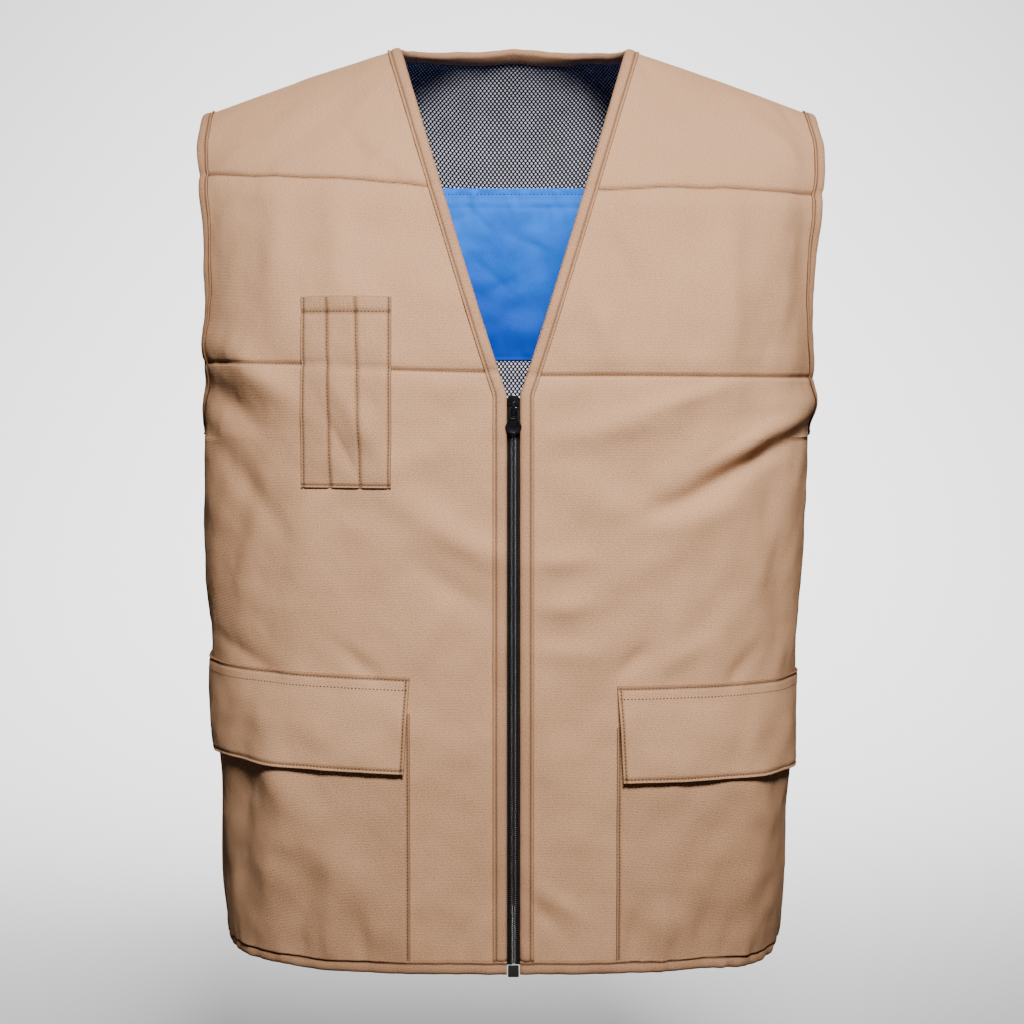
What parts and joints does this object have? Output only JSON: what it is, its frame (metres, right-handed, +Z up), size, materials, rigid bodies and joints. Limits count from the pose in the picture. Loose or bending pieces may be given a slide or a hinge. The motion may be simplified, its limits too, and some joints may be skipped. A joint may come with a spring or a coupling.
{
  "type": "cooling vest",
  "caption": "Sleeveless padded cooling vest with a V neck, a full front zip, flapped hip pockets and a divided chest pen pocket.",
  "frame": {"origin": "the shoulder seat: on the centre plane, level with the body's shoulders under the seams beside the neck", "axes": "+Z up, -Y out of the vest's front, +X to the wearer's left"},
  "size_m": [0.4613, 0.2637, 0.6815],
  "materials": {
    "shell": "plain tan woven polyester, softly padded",
    "pocket": "the same tan cloth, a shade darker",
    "binding": "twill tape, top stitched",
    "lining": "black net with pale lavender dots",
    "cooling": "wrinkled blue woven cloth, slight sheen",
    "zip_tape": "dark woven tape",
    "zip_coil": "dark moulded coil",
    "zip_metal": "dark painted metal, satin"
  },
  "bodies": {
    "vest": {"front_panel_right": "shell", "front_panel_left": "shell", "back_panel": "shell", "back_lining": "lining", "cooling_panel": "cooling", "neck_binding": "binding", "armhole_binding_right": "binding", "armhole_binding_left": "binding", "hem_binding": "binding", "pen_pocket": "pocket", "lower_pocket_right": "pocket", "lower_pocket_left": "pocket", "pocket_flap_right": "pocket", "pocket_flap_left": "pocket", "zip_tape_right": "zip_tape", "zip_tape_left": "zip_tape", "zip_coil_right": "zip_coil", "zip_coil_left": "zip_coil", "zip_slider": "zip_metal", "zip_retainer": "zip_coil"},
    "pull": {"zip_pull": "zip_metal"}
  },
  "joints": [
    {"name": "pull_hinge", "type": "hinge", "parent": "vest", "child": "pull", "pos_m": [0, -0.13753, -0.2512], "axis": [-1, 0, 0], "range_deg": [0, 170]}
  ]
}
